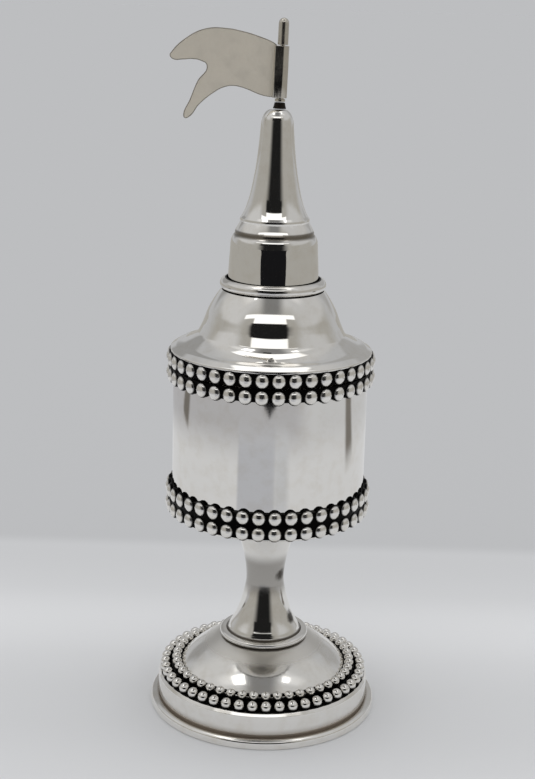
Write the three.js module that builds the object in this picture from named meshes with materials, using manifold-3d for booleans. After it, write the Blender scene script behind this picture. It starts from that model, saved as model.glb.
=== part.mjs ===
// A silver spice tower: a round spice box on a stem and a stepped foot, with a lift-off lid
// shaped as a flared roof, a turret and a spire, and a small flag that turns on its pole.
// Lengths in millimetres. +Z is up, the origin is the middle of the foot's underside,
// the front is -Y, and the flag points to -X at rest.
import * as THREE from 'three';
import { mergeVertices } from 'three/addons/utils/BufferGeometryUtils.js';
import Module from 'manifold-3d';

// Sheet and joints
const sheet = 0.8;            // silver sheet that the hollow pieces are spun from
const solderGap = 0.3;        // between a ring and the wall that it is soldered round
const seatGap = 0.3;          // lid to box, and bezel to box wall
const turningGap = 0.2;       // flag loop to pole, all round and at both ends
const leanGap = 0.2;          // between the soldered pieces of the leaning pole

// Foot
const footWallRadius = 25.1;
const flangeProud = 1.8;      // how far the flange stands out from the wall
const flangeTuck = 2.1;       // how far it reaches in under the wall
const flangeHeight = 2.2;
const flangeEdge = 0.5;       // rounding of the flange's upper edge
const footWallHeight = 4.9;
const footWallThickness = 1.0;
const grooveHeight = 0.7;     // dark groove round the bottom of the wall
const grooveDepth = 0.4;
const ledgeStep = 1.4;        // rise from the outer bead ledge to the inner one
const domeRise = 7.6;         // rise from the inner ledge to the flat under the stem

// Beads of the foot
const footBeadCount = 48;
const footBeadTurn = -1.4;    // degrees from the front to the first gap between beads
const outerBeadInset = 1.85;  // from the wall's outside to the middle of the outer beads
const outerBeadSize = 2.3;
const beadCircleStep = 2.55;  // from the outer circle of beads to the inner one
const innerBeadSize = 1.95;
const neckWidthShare = 0.55;  // width of the ring between two beads, of a bead's
const neckRiseShare = 0.6;    // height of the ring between two beads, of a bead's

// Stem
const stemLipRadius = 9.0;    // foot of the bell
const stemRingProud = 1.5;    // how far the ring under the bell stands out from it
const stemRingHeight = 1.4;
const domeTopInset = 0.7;     // from the ring's outside to the edge of the dome's flat top
const domeHoleInset = 2.4;    // from the bell's foot to the hole under it
const stemWaistRadius = 4.45;
const stemBellHeight = 11.9;
const stemUpperHeight = 18.3;
const stemTopRadius = 9.2;

// Box
const boxRadius = 22.3;
const boxHeight = 33.85;      // wall above the floor
const floorThickness = 1.0;

// Beads of the box and the lid
const beadCount = 40;
const beadBacking = 0.45;     // thickness of the ribbon that the beads stand on
const beadProud = 0.85;       // how far a bead stands out from its ribbon
const beadRowHeight = 3.7;    // from one row of beads to the next
const beadNeckShare = 0.3;    // how far the strip stands out between beads, of a bead's
const beadFlatShare = 0.2;    // half of a bead's flat crest, of the height of its row
const stripEdge = 0.05;       // gap from a strip's end to the plane that it stops at

// Lid
const rimProud = 0.7;         // how far the rim stands out from the collar
const rimThickness = 0.7;
const bezelDepth = 5.5;       // how far the bezel reaches into the box
const bezelThickness = 0.7;
const collarHeight = 3.1;
const roofHeight = 13.45;     // from the top of the rim to the flat under the turret
const roofTopMargin = 0.95;   // flat of the roof round the drum
const roofHoleInset = 1.55;   // from the drum's outside to the hole under it

// Turret and spire
const drumRadius = 10.25;     // at the foot of the drum
const drumHeight = 16.7;      // with its two ridges
const seamRadius = 7.3;       // where the drum meets the spire
const ringProud = 1.75;       // how far the wire ring stands out from the drum
const ringHeight = 2.6;       // thickness of the ring's wire
const spireHeight = 23.25;
const spireTipRadius = 1.9;

// Pole and flag
const poleLean = 1.5;         // degrees, to the right in front view
const poleOffset = 0.35;      // from the spire's axis to the pole's foot
const poleCollarInset = 0.4;  // from the spire's tip to the collar's foot
const poleCollarHeight = 1.3;
const shoulderProud = 0.35;   // how far the shoulder stands out from the pole
const shoulderHeight = 0.6;
const poleRadius = 0.8;
const tenonInset = 0.3;       // step from the pole to its tenon, inside the cap
const tenonHeight = 1.8;
const capProud = 0.35;        // how far the cap stands out from the pole
const capHeight = 5.7;
const loopWall = 0.45;        // rolled loop of the flag
const flagThickness = 0.45;
const flagHoist = 11.1;       // height of the flag at the pole
const flagLength = 24.4;      // from the pole's axis to the far tip

// Steps round each turned piece
const wideSteps = 32;
const narrowSteps = 20;
const poleSteps = 12;
const ringArcSteps = 6;       // round the visible half of the ring's wire
const sharpestBendShare = 0.5; // keeps the inner side of a sheet near at a sharp bend
const weldTolerance = 0.0001;  // vertices this near are one

const silver = new THREE.MeshStandardMaterial({ color: 0xc9c8c5, roughness: 0.12, metalness: 1 });
const beadSilver = new THREE.MeshStandardMaterial({ color: 0xb4b3b0, roughness: 0.2, metalness: 1 });
const satinSilver = new THREE.MeshStandardMaterial({ color: 0xb0aca4, roughness: 0.35, metalness: 1 });

const tower = new THREE.Group();
const box = new THREE.Group();
const lid = new THREE.Group();
const finial = new THREE.Group();
const flagBody = new THREE.Group();
tower.add(box, lid);
lid.add(finial);
finial.add(flagBody);

function addMesh(group, name, geometry, material) {
  const mesh = new THREE.Mesh(geometry, material);
  mesh.name = name;
  group.add(mesh);
  return mesh;
}

// A closed outline of [radius, height] points, turned about Z. The outline runs so that faces point out.
function turned(outline, steps) {
  let area = 0;
  outline.forEach(([r, z], i) => {
    const [nextR, nextZ] = outline[(i + 1) % outline.length];
    area += r * nextZ - nextR * z;
  });
  const loop = area > 0 ? [...outline] : [...outline].reverse();
  const start = loop.findIndex(([r], i) => r === 0 && loop.at(i - 1)[0] === 0);
  const points = start < 0 ? [...loop, loop[0]] : [...loop.slice(start), ...loop.slice(0, start)];
  const profile = points.map(([r, z]) => new THREE.Vector2(r, z));
  const geometry = new THREE.LatheGeometry(profile, steps);
  geometry.rotateX(Math.PI / 2);
  return geometry;
}

// A sheet of even thickness inside a line of points that runs from its foot upwards.
// A level end keeps its height, so that the piece stands flat on its neighbour. The inner
// side, which is out of sight, keeps every other point.
function sheetInside(line, thickness, levelStart, levelEnd) {
  const along = (a, b) => new THREE.Vector2(b[0] - a[0], b[1] - a[1]).normalize();
  const last = line.length - 1;
  const inner = line.map((point, i) => {
    const before = along(line[Math.max(i - 1, 0)], line[Math.max(i, 1)]);
    const after = along(line[Math.min(i, last - 1)], line[Math.min(i + 1, last)]);
    const mean = before.clone().add(after).normalize();
    const inward = new THREE.Vector2(-mean.y, mean.x);
    const reach = thickness / Math.max(before.dot(mean), sharpestBendShare);
    if ((i === 0 && levelStart) || (i === last && levelEnd)) {
      return [point[0] - thickness / Math.abs(inward.x), point[1]];
    }
    return [Math.max(point[0] + inward.x * reach, 0), point[1] + inward.y * reach];
  });
  const kept = inner.filter((_, i) => i % 2 === last % 2 || i === 0);
  return [...line, ...kept.reverse()];
}

// A smooth line through points given as shares between two corners.
function smoothLine(shares, from, to, steps) {
  const points = shares.map(([across, up]) => new THREE.Vector2(
    THREE.MathUtils.lerp(from[0], to[0], across),
    THREE.MathUtils.lerp(from[1], to[1], up),
  ));
  return new THREE.SplineCurve(points).getPoints(steps).map((p) => [p.x, p.y]);
}

// A ring whose section swells at each bead. sectionAt(fullness) gives the same number of
// [radius, height] points at a neck (0) and at a bead's crest (1), counter-clockwise, and
// fullnessShares lists the stations of one bead.
function beadedRing(sectionAt, count, firstGap, fullnessShares) {
  const stations = count * fullnessShares.length;
  const size = sectionAt(0).length;
  const positions = [];
  const index = [];
  for (let s = 0; s < stations; s += 1) {
    const angle = -Math.PI / 2 + firstGap + (s / stations) * 2 * Math.PI;
    for (const [r, z] of sectionAt(fullnessShares[s % fullnessShares.length])) {
      positions.push(r * Math.cos(angle), r * Math.sin(angle), z);
    }
    const next = (s + 1) % stations;
    for (let k = 0; k < size; k += 1) {
      const a = s * size + k;
      const b = s * size + ((k + 1) % size);
      const c = next * size + ((k + 1) % size);
      const d = next * size + k;
      index.push(a, d, c, a, c, b);
    }
  }
  const geometry = new THREE.BufferGeometry();
  geometry.setAttribute('position', new THREE.Float32BufferAttribute(positions, 3));
  geometry.setIndex(index);
  geometry.computeVertexNormals();
  return geometry;
}

// Foot flange
const flangeRadius = footWallRadius + flangeProud;
const flangeInner = footWallRadius - flangeTuck;
addMesh(box, 'foot_flange', turned([
  [flangeInner, 0],
  [flangeRadius - flangeEdge / 2, 0],
  [flangeRadius, flangeEdge / 2],
  [flangeRadius, flangeHeight - flangeEdge],
  [flangeRadius - flangeEdge / 2, flangeHeight - flangeEdge / 4],
  [flangeRadius - flangeEdge, flangeHeight],
  [flangeInner, flangeHeight],
], wideSteps), silver);

// Foot wall, standing on the flange, with the groove at its bottom
const footWallTop = flangeHeight + footWallHeight;
addMesh(box, 'foot_wall', turned([
  [footWallRadius - footWallThickness, flangeHeight],
  [footWallRadius - grooveDepth, flangeHeight],
  [footWallRadius - grooveDepth, flangeHeight + grooveHeight],
  [footWallRadius, flangeHeight + grooveHeight],
  [footWallRadius, footWallTop],
  [footWallRadius - footWallThickness, footWallTop],
], wideSteps), silver);

// Foot dome: rim on the wall, two stepped ledges for the beads, then the dome
const outerLedge = footWallTop + sheet;
const innerLedge = outerLedge + ledgeStep;
const domeTop = innerLedge + domeRise;
const stemRingRadius = stemLipRadius + stemRingProud;
const domeTopRadius = stemRingRadius - domeTopInset;
const domeHoleRadius = stemLipRadius - domeHoleInset;
const outerBeadCircle = footWallRadius - outerBeadInset;
const innerBeadCircle = outerBeadCircle - beadCircleStep;
const outerLedgeEnd = outerBeadCircle - outerBeadSize / 2;
const innerLedgeEnd = innerBeadCircle - innerBeadSize / 2 - solderGap / 2;
const domeShares = [[0, 0.13], [0.1, 0.26], [0.35, 0.53], [0.62, 0.77], [0.86, 0.95], [1, 1]];
const domeLine = [
  [footWallRadius, outerLedge - sheet / 2],
  [footWallRadius - sheet / 3, outerLedge],
  [outerLedgeEnd, outerLedge],
  [outerLedgeEnd - solderGap / 2, innerLedge],
  [innerLedgeEnd, innerLedge],
  ...smoothLine(domeShares, [innerLedgeEnd - solderGap / 2, innerLedge], [domeTopRadius, domeTop], 9),
  [domeHoleRadius, domeTop],
];
const domeUnderside = sheetInside(domeLine, sheet, false, false).slice(domeLine.length, -2);
addMesh(box, 'foot_dome', turned([
  [footWallRadius, footWallTop],
  ...domeLine,
  ...domeUnderside,
  [footWallRadius - footWallThickness, footWallTop],
], wideSteps), silver);

// Rings of beads on the two ledges
const smallBeadShares = [0, 1];
function ledgeBeads(circle, size, ledge) {
  return (fullness) => {
    const half = (size / 2) * THREE.MathUtils.lerp(neckWidthShare, 1, fullness);
    const rise = size * THREE.MathUtils.lerp(neckRiseShare, 1, fullness);
    return [
      [circle - half, ledge],
      [circle + half, ledge],
      [circle + half, ledge + rise / 2],
      [circle, ledge + rise],
      [circle - half, ledge + rise / 2],
    ];
  };
}
const footTurn = THREE.MathUtils.degToRad(footBeadTurn);
const outerBeads = ledgeBeads(outerBeadCircle + solderGap / 2, outerBeadSize - solderGap / 2, outerLedge);
const innerBeads = ledgeBeads(innerBeadCircle, innerBeadSize - solderGap / 2, innerLedge);
addMesh(box, 'foot_bead_ring_outer', beadedRing(outerBeads, footBeadCount, footTurn, smallBeadShares), beadSilver);
addMesh(box, 'foot_bead_ring_inner', beadedRing(innerBeads, footBeadCount, footTurn, smallBeadShares), beadSilver);

// Stem ring on the dome's flat top
const stemRingTop = domeTop + stemRingHeight;
const stemRingRound = stemRingHeight / 3;
addMesh(box, 'stem_ring', turned([
  [domeHoleRadius, domeTop],
  [stemRingRadius - 2 * stemRingRound, domeTop],
  [stemRingRadius, domeTop + stemRingRound],
  [stemRingRadius, stemRingTop - stemRingRound],
  [stemRingRadius - stemRingRound, stemRingTop],
  [domeHoleRadius, stemRingTop],
], narrowSteps), silver);

// Stem: two hollow trumpets joined at the waist
const waistHeight = stemRingTop + stemBellHeight;
const bellShares = [[0, 0], [0.22, 0.04], [0.36, 0.12], [0.46, 0.24], [0.7, 0.5], [0.9, 0.76], [1, 1]];
const bellLine = smoothLine(bellShares, [stemLipRadius, stemRingTop], [stemWaistRadius, waistHeight], 10);
addMesh(box, 'stem_bell', turned(sheetInside(bellLine, sheet, true, true), narrowSteps), silver);

const floorBottom = waistHeight + stemUpperHeight;
const upperShares = [[0, 0], [0.02, 0.1], [0.1, 0.22], [0.2, 0.36], [0.4, 0.58], [0.67, 0.8], [1, 1]];
const upperLine = smoothLine(upperShares, [stemWaistRadius, waistHeight], [stemTopRadius, floorBottom], 8);
addMesh(box, 'stem_upper', turned(sheetInside(upperLine, sheet, true, true), narrowSteps), silver);

// Box: floor and wall
const floorTop = floorBottom + floorThickness;
const boxTop = floorTop + boxHeight;
addMesh(box, 'box_floor', turned([
  [0, floorBottom],
  [boxRadius, floorBottom],
  [boxRadius, floorTop],
  [0, floorTop],
], wideSteps), silver);
addMesh(box, 'box_wall', turned([
  [boxRadius - sheet, floorTop],
  [boxRadius, floorTop],
  [boxRadius, boxTop],
  [boxRadius - sheet, boxTop],
], wideSteps), silver);

// A strip of beads round the box or the lid: a ribbon with rows of beads standing out from it
const beadShares = [0, 1, 1];
const stripInner = boxRadius + solderGap;
const ribbonRadius = stripInner + beadBacking;
function stripBeads(bottom, top, rows) {
  const rowHeight = (top - bottom) / rows;
  return (fullness) => {
    const crest = ribbonRadius + beadProud * THREE.MathUtils.lerp(beadNeckShare, 1, fullness);
    const flat = rowHeight * beadFlatShare;
    const section = [[stripInner, bottom], [ribbonRadius, bottom]];
    for (let row = 0; row < rows; row += 1) {
      const middle = bottom + rowHeight * (row + 1 / 2);
      section.push([crest, middle - flat], [crest, middle + flat]);
      section.push([ribbonRadius, bottom + rowHeight * (row + 1)]);
    }
    section.push([stripInner, top]);
    return section;
  };
}
const baseStrip = stripBeads(floorBottom + stripEdge, floorBottom + 2 * beadRowHeight, 2);
addMesh(box, 'base_bead_strip', beadedRing(baseStrip, beadCount, 0, beadShares), beadSilver);
const mouthStrip = stripBeads(boxTop - beadRowHeight + stripEdge, boxTop - stripEdge, 1);
addMesh(box, 'mouth_bead_strip', beadedRing(mouthStrip, beadCount, 0, beadShares), beadSilver);

// Lid: collar, beads and bezel under the rim of the roof
const lidBottom = boxTop + seatGap;
const rimBottom = lidBottom + collarHeight;
addMesh(lid, 'lid_collar', turned([
  [boxRadius - sheet, lidBottom],
  [boxRadius, lidBottom],
  [boxRadius, rimBottom],
  [boxRadius - sheet, rimBottom],
], wideSteps), silver);
const lidStrip = stripBeads(lidBottom + stripEdge, rimBottom - stripEdge, 1);
addMesh(lid, 'lid_bead_strip', beadedRing(lidStrip, beadCount, 0, beadShares), beadSilver);
const bezelRadius = boxRadius - sheet - seatGap;
const bezelInner = bezelRadius - bezelThickness;
addMesh(lid, 'lid_bezel', turned([
  [bezelInner, boxTop - bezelDepth],
  [bezelRadius, boxTop - bezelDepth],
  [bezelRadius, rimBottom],
  [bezelInner, rimBottom],
], wideSteps), silver);

// Roof: thin rim, concave flare, then a rounded shoulder up to the flat under the turret
const rimRadius = boxRadius + rimProud;
const rimTop = rimBottom + rimThickness;
const roofTop = rimTop + roofHeight;
const roofTopRadius = drumRadius + roofTopMargin;
const roofHoleRadius = drumRadius - roofHoleInset;
const roofShares = [
  [0, 0], [0.2, 0.045], [0.34, 0.1], [0.44, 0.17], [0.53, 0.3], [0.61, 0.44], [0.68, 0.58],
  [0.77, 0.725], [0.87, 0.87], [0.95, 0.96], [1, 1],
];
const roofEdge = [rimRadius - rimThickness / 3, rimTop];
const roofLine = [
  ...smoothLine(roofShares, roofEdge, [roofTopRadius, roofTop], 16),
  [roofHoleRadius, roofTop],
];
const roofUnderside = sheetInside(roofLine, sheet, false, false)
  .slice(roofLine.length)
  .filter(([r]) => r < bezelInner - sheet);
addMesh(lid, 'lid_roof', turned([
  [rimRadius, rimBottom],
  [rimRadius, rimTop - rimThickness / 3],
  ...roofLine,
  ...roofUnderside,
  [bezelInner - solderGap, rimBottom],
], wideSteps), silver);

// Turret drum with its two ridges
const drumTop = roofTop + drumHeight;
const drumShares = [
  [0, 0], [0.02, 0.22], [0.06, 0.34], [0.13, 0.53], [0.19, 0.64], [0.25, 0.695], [0.36, 0.735],
  [0.45, 0.755], [0.455, 0.79], [0.6, 0.845], [0.78, 0.895], [0.87, 0.92], [0.84, 0.95], [0.9, 0.985], [1, 1],
];
const drumLine = drumShares.map(([across, up]) => [
  THREE.MathUtils.lerp(drumRadius, seamRadius, across),
  THREE.MathUtils.lerp(roofTop, drumTop, up),
]);
addMesh(lid, 'turret_drum', turned(sheetInside(drumLine, sheet, true, true), narrowSteps), silver);

// Wire ring round the foot of the drum, soldered to the roof's flat
const ringInner = drumRadius + solderGap;
const ringRadius = drumRadius + ringProud;
const ringRound = ringHeight / 2;
const ringArc = [];
for (let step = 0; step <= ringArcSteps; step += 1) {
  const angle = Math.PI * (step / ringArcSteps - 1 / 2);
  ringArc.push([
    ringRadius - ringRound + ringRound * Math.cos(angle),
    roofTop + ringRound + ringRound * Math.sin(angle),
  ]);
}
addMesh(lid, 'turret_ring', turned([
  [ringInner, roofTop],
  ...ringArc,
  [ringInner, roofTop + ringHeight],
], narrowSteps), silver);

// Spire: hollow, open to the turret, closed at its tip
const spireTop = drumTop + spireHeight;
const spireShares = [
  [0, 0], [0.14, 0.07], [0.29, 0.18], [0.43, 0.345], [0.535, 0.52], [0.6, 0.65], [0.645, 0.757],
  [0.68, 0.86], [0.775, 0.92], [0.88, 0.97], [1, 1],
];
const spireLine = [
  ...smoothLine(spireShares, [seamRadius, drumTop], [spireTipRadius, spireTop], 14),
  [0, spireTop],
];
const spireOutline = sheetInside(spireLine, sheet, true, false);
addMesh(lid, 'spire_cone', turned(spireOutline, narrowSteps), silver);

// Finial: everything on the pole, in a group that leans with it
finial.position.set(poleOffset, 0, spireTop);
finial.rotation.y = THREE.MathUtils.degToRad(poleLean);
const collarTop = leanGap + poleCollarHeight;
const collarBaseRadius = spireTipRadius - poleCollarInset;
const shoulderRadius = poleRadius + shoulderProud;
addMesh(finial, 'pole_collar', turned([
  [0, leanGap],
  [collarBaseRadius, leanGap],
  [(collarBaseRadius + shoulderRadius) / 2, leanGap + poleCollarHeight / 3],
  [shoulderRadius, collarTop],
  [0, collarTop],
], poleSteps), silver);

const poleBottom = collarTop + leanGap;
const shoulderTop = poleBottom + shoulderHeight;
const flagBottom = shoulderTop + turningGap;
const flagTop = flagBottom + flagHoist;
const capBottom = flagTop + turningGap;
const tenonBottom = capBottom - leanGap;
const tenonRadius = poleRadius - tenonInset;
const poleTop = tenonBottom + tenonHeight;
addMesh(finial, 'flagpole', turned([
  [0, poleBottom],
  [shoulderRadius, poleBottom],
  [shoulderRadius, shoulderTop],
  [poleRadius, shoulderTop],
  [poleRadius, tenonBottom],
  [tenonRadius, tenonBottom],
  [tenonRadius, poleTop],
  [0, poleTop],
], poleSteps), silver);

const capTop = capBottom + capHeight;
const capRadius = poleRadius + capProud;
const capBore = tenonRadius + leanGap;
const capBend = capRadius * Math.SQRT1_2;
addMesh(finial, 'pole_cap', turned([
  [0, poleTop + leanGap],
  [capBore, poleTop + leanGap],
  [capBore, capBottom],
  [capRadius, capBottom],
  [capRadius, capTop - capRadius],
  [capBend, capTop - capRadius + capBend],
  [0, capTop],
], poleSteps), silver);

// Flag: a thin plate joined to the loop that turns on the pole
const wasm = await Module();
wasm.setup();

function solidOf(geometry) {
  const bare = geometry.clone();
  bare.deleteAttribute('normal');
  bare.deleteAttribute('uv');
  const merged = mergeVertices(bare, weldTolerance);
  return new wasm.Manifold(new wasm.Mesh({
    numProp: 3,
    vertProperties: new Float32Array(merged.attributes.position.array),
    triVerts: new Uint32Array(merged.index.array),
  }));
}

function geometryOf(solid) {
  const { vertProperties, triVerts } = solid.getMesh();
  const geometry = new THREE.BufferGeometry();
  geometry.setAttribute('position', new THREE.BufferAttribute(vertProperties, 3));
  geometry.setIndex(new THREE.BufferAttribute(triVerts, 1));
  geometry.computeVertexNormals();
  return geometry;
}

// Each stretch of the flag's edge, as shares of its length and of its hoist
const flagEdgeShares = [
  [[0.07, 1.04], [0.24, 1.175], [0.37, 1.24], [0.49, 1.277], [0.69, 1.25], [0.86, 1.055], [0.985, 0.78]],
  [[0.985, 0.78], [1, 0.71], [0.97, 0.635]],
  [[0.97, 0.635], [0.88, 0.637], [0.795, 0.655], [0.72, 0.63], [0.668, 0.553]],
  [[0.668, 0.553], [0.745, 0.24], [0.805, -0.11], [0.86, -0.437]],
  [[0.86, -0.437], [0.847, -0.49], [0.806, -0.46]],
  [
    [0.806, -0.46], [0.722, -0.214], [0.58, 0.056], [0.509, 0.143],
    [0.437, 0.182], [0.349, 0.161], [0.156, 0.025], [0.07, 0],
  ],
];
const flagPoints = flagEdgeShares.flatMap((stretch) => {
  const curve = new THREE.SplineCurve(stretch.map(([across, up]) => (
    new THREE.Vector2(-across * flagLength, up * flagHoist)
  )));
  return curve.getPoints(Math.max(2 * (stretch.length - 1) - 2, 2)).slice(1);
});
const loopBore = poleRadius + turningGap;
const loopRadius = loopBore + loopWall;
const hoistStart = loopBore + loopWall / 2;
const plate = new THREE.ExtrudeGeometry(new THREE.Shape([
  new THREE.Vector2(-hoistStart, 0),
  new THREE.Vector2(-hoistStart, flagHoist),
  ...flagPoints,
]), { depth: flagThickness, bevelEnabled: false });
plate.translate(0, 0, -flagThickness / 2);
plate.rotateX(Math.PI / 2);
plate.translate(0, 0, flagBottom);
const loop = turned([
  [loopBore, flagBottom],
  [loopRadius, flagBottom],
  [loopRadius, flagTop],
  [loopBore, flagTop],
], poleSteps);
addMesh(flagBody, 'flag', geometryOf(solidOf(plate).add(solidOf(loop))), satinSilver);

export default tower;
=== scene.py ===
# %% [markdown]
# # A silver spice tower
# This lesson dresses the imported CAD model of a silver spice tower: a round box on a stem and
# a stepped foot, closed by a lid that is shaped as a roof with a turret, a spire and a flag.
# Nearly every piece of the real one was spun from sheet silver on a lathe. So nearly every
# piece here is an outline, drawn point by point and then spun about the tower's axis.

# %% The frame that everything is built around
import math

import bpy
from mathutils import Matrix, Vector


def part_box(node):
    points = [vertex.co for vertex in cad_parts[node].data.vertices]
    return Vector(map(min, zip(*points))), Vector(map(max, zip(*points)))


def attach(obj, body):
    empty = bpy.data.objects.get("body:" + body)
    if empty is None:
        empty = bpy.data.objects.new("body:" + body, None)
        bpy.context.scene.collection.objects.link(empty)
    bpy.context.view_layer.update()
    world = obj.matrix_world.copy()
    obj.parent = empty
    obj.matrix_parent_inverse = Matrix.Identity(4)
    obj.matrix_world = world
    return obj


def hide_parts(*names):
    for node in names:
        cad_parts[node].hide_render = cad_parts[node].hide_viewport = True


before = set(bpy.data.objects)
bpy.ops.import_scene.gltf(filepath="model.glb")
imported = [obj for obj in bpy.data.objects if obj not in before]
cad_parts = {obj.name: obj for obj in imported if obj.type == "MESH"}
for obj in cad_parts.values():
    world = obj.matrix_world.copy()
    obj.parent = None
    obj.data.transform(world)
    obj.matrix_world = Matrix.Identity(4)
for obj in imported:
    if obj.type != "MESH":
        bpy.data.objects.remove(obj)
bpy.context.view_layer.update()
print("nodes in the frame:", len(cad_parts))

# %% [markdown]
# The CAD nodes are many-sided prisms, and in polished silver every facet would show. Each is
# replaced by a smooth piece of the same size in the same place. The first helper reads a
# node's size, so that it isn't typed twice. All sizes below are in millimetres, as a
# silversmith would take them, and are turned to metres where a mesh is made.

# %% Reading the size of a turned node
MM = 0.001


def size_of(node):
    """Outer radius, bottom and top of a CAD node that is turned about the tower's axis."""
    low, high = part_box(node)
    return high.x / MM, low.z / MM, high.z / MM


print("wall of the box:", [round(value, 2) for value in size_of("box_wall")], "mm")

# %% [markdown]
# A spun piece starts as its outline. By hand, one would add a plane, merge it to a single
# vertex and extrude that vertex from corner to corner. The helper does just that in the XZ
# plane, where X is the radius. An outline of a ring closes on itself, and one of a solid
# piece has both its ends on the axis.

# %% Drawing an outline by extruding one vertex
def draw_outline(name, points):
    bpy.ops.object.select_all(action="DESELECT")
    bpy.ops.mesh.primitive_plane_add(size=MM)
    piece = bpy.context.object
    piece.name = piece.data.name = name
    bpy.ops.object.mode_set(mode="EDIT")
    bpy.ops.mesh.select_mode(type="VERT")
    bpy.ops.mesh.select_all(action="SELECT")
    bpy.ops.mesh.merge(type="CENTER")
    places = [Vector((radius, 0, height)) * MM for radius, height in points]
    bpy.ops.transform.translate(value=places[0])
    for here, there in zip(places, places[1:]):
        bpy.ops.mesh.extrude_region_move(TRANSFORM_OT_translate={"value": there - here})
    print(name, "is drawn with", len(points), "points")
    return piece


# %% [markdown]
# Spinning the outline makes the body. The last copy lands on the first, so the doubles are
# merged, and only then are the normals made to point outwards. Smooth shading up to a limit
# angle keeps the real corners crisp.

# %% Spinning an outline into a closed piece
WELD = 0.0004 * MM
CREASE = math.radians(32)
WIDE_STEPS = 128
NARROW_STEPS = 80
POLE_STEPS = 40


def turned(name, points, steps):
    on_axis = abs(points[0][0]) * MM < WELD
    piece = draw_outline(name, points if on_axis else [*points, points[0]])
    bpy.ops.mesh.select_all(action="SELECT")
    bpy.ops.mesh.spin(steps=steps, angle=math.tau, center=(0, 0, 0), axis=(0, 0, 1))
    bpy.ops.mesh.select_all(action="SELECT")
    bpy.ops.mesh.remove_doubles(threshold=WELD)
    bpy.ops.mesh.normals_make_consistent(inside=False)
    bpy.ops.object.mode_set(mode="OBJECT")
    bpy.ops.object.shade_smooth_by_angle(angle=CREASE)
    print(name, "has", len(piece.data.polygons), "faces")
    return piece


# %% [markdown]
# Silver sheet has no razor edges. The burnisher and the buffing wheel round every corner a
# little, and that small round is what catches a bright line of light. This helper puts an
# arc at a corner of an outline. One more point on each side holds the flats, so that smooth
# shading doesn't bend what they reflect.

# %% Rounding the corners of an outline
ARC_STEPS = 4
HOLD_SHARE = 0.35     # of the rounding: how far past the arc the flat is held


def rounded(corners):
    """Corners are (radius, height) or (radius, height, rounding), in order round the outline."""
    points = []
    for i, (radius, height, *rounding) in enumerate(corners):
        here = Vector((radius, height))
        if not rounding:
            points.append(tuple(here))
            continue
        back = (Vector(corners[i - 1][:2]) - here).normalized()
        ahead = (Vector(corners[(i + 1) % len(corners)][:2]) - here).normalized()
        half = back.angle(ahead) / 2
        reach = rounding[0] / math.tan(half)
        centre = here + (back + ahead).normalized() * (rounding[0] / math.sin(half))
        start = here + back * reach - centre
        end = here + ahead * reach - centre
        hold = rounding[0] * HOLD_SHARE
        points.append(tuple(centre + start + back * hold))
        for step in range(ARC_STEPS + 1):
            share = step / ARC_STEPS
            points.append(tuple(centre + start.slerp(end, share).normalized() * rounding[0]))
        points.append(tuple(centre + end + ahead * hold))
    return points


print("one rounded corner takes", len(rounded([(0, 0), (1, 0, 0.2), (1, 1)])) - 2, "points")


# %% [markdown]
# The long curves of roof, spire and stem are sweeps, because the spinner presses the sheet
# on to its form in long strokes. A Bezier curve with a chosen tilt at each end has no
# ripples, and in silver a ripple would show at once. A tilt is how far the surface leans back
# from upright, in degrees: 0 is a straight wall and 90 is a flat top.

# %% A sweep between two places, with a tilt at each end
def sweep(start, start_tilt, end, end_tilt, steps, pulls=(0.35, 0.35)):
    """Points upwards from start to end. The pulls are shares of the distance between them:
    how far each end's direction reaches into the curve."""
    first, last = Vector(start), Vector(end)
    span = (last - first).length

    def upwards(tilt):
        return Vector((-math.sin(math.radians(tilt)), math.cos(math.radians(tilt))))

    near = first + upwards(start_tilt) * span * pulls[0]
    far = last - upwards(end_tilt) * span * pulls[1]
    points = []
    for step in range(steps + 1):
        t = step / steps
        point = first * (1 - t) ** 3 + near * (3 * t * (1 - t) ** 2)
        points.append(tuple(point + far * (3 * t * t * (1 - t)) + last * t ** 3))
    return points


print("halfway up a sweep:", [round(value, 2) for value in sweep((2, 0), 0, (1, 2), 60, 2)[1]])


# %% [markdown]
# Sheet has a second side. It follows the outer line at the thickness of the sheet, measured
# square to that line, and the two sides joined make one closed outline.

# %% The inner side of a line of points
SHEET = 0.8


def inner_side(line, thickness=SHEET):
    """The line moved inwards, in the line's own order, which runs up the outside."""
    inner = []
    for i, point in enumerate(line):
        along = Vector(line[min(i + 1, len(line) - 1)]) - Vector(line[max(i - 1, 0)])
        inward = Vector((-along.y, along.x)).normalized() * thickness
        inner.append((max(point[0] + inward.x, 0), point[1] + inward.y))
    return inner


def sheet_piece(name, line, steps):
    """A hollow piece that stands level on its neighbours at both ends."""
    inner = inner_side(line)
    inner[0] = (line[0][0] - SHEET, line[0][1])
    inner[-1] = (line[-1][0] - SHEET, line[-1][1])
    print(name, "is made of sheet", SHEET, "mm thick")
    return turned(name, [*line, *inner[::-1]], steps)


# %% [markdown]
# ## The foot
# The flange is the flat ring that the tower stands on. Its upper edge was rounded well over,
# and shows two bright lines. The wall above it stands in a narrow groove, where the solder
# and years of polish have gone dark. Both are plain rings, so each is an outline of corners.

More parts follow.
